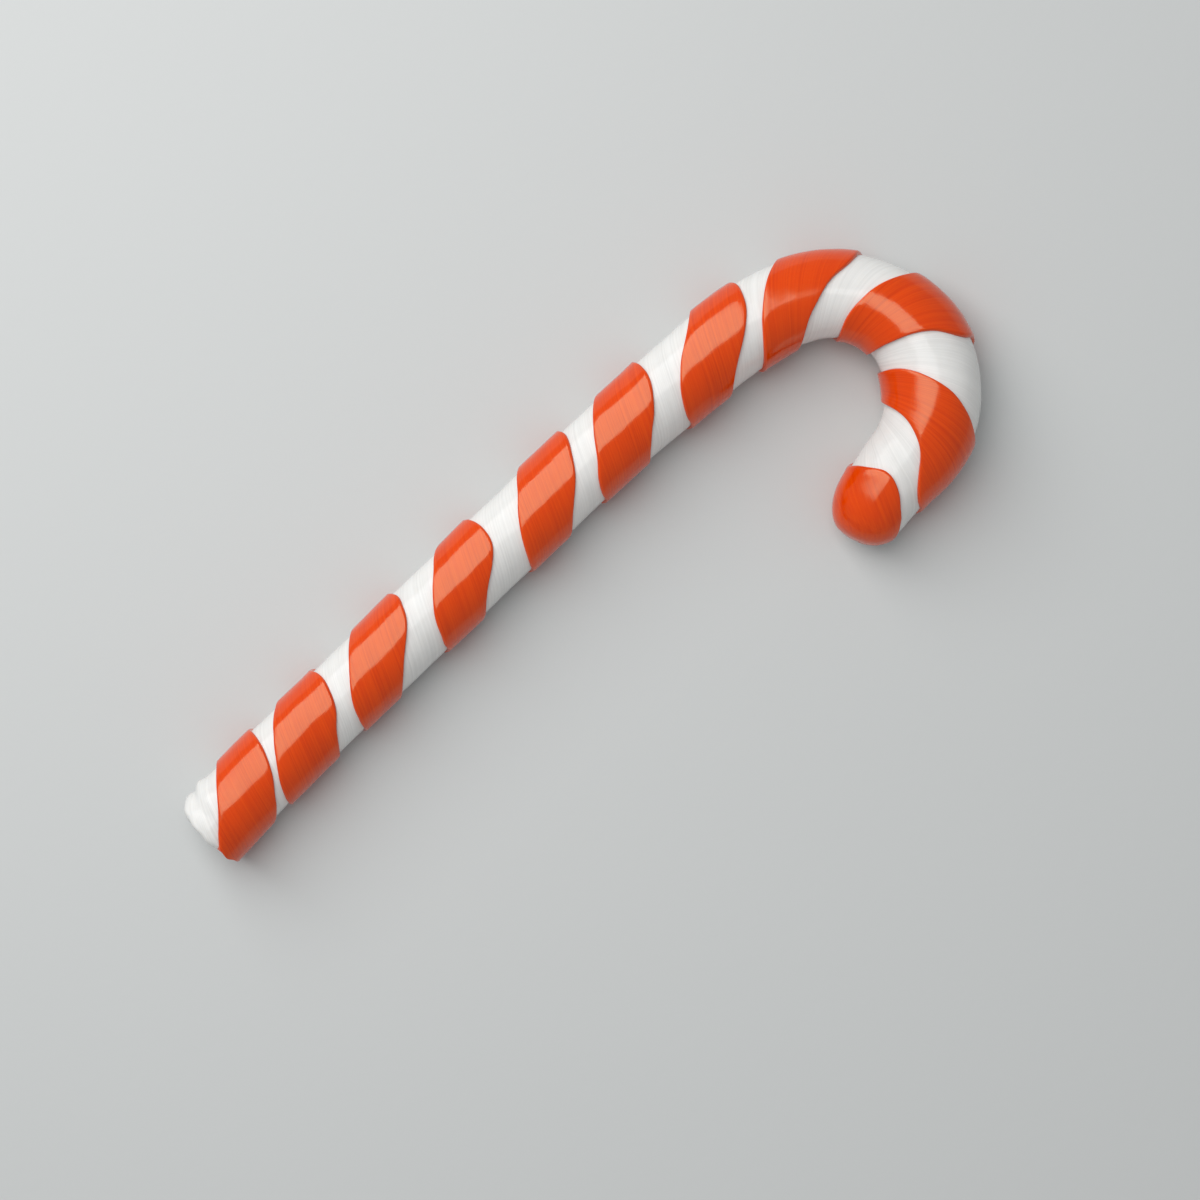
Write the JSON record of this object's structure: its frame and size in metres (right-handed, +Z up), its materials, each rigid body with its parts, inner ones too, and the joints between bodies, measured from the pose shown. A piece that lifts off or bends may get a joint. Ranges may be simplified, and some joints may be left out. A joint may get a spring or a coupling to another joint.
{
  "type": "candy cane",
  "caption": "Candy cane lying flat: a thick twisted stick of hard pulled sugar with a raised spiral stripe, a cut foot, and a crook that ends in a rounded tip.",
  "frame": {"origin": "middle of the cane's box, on the table that it lies on", "axes": "+X along the stick towards the crook, the crook turns towards -Y, +Z up, towards the shown side"},
  "size_m": [0.1546, 0.053, 0.017],
  "materials": {
    "pulled_sugar": "gloss"
  },
  "bodies": {
    "root": {"candy_cane": "pulled_sugar"}
  },
  "joints": []
}
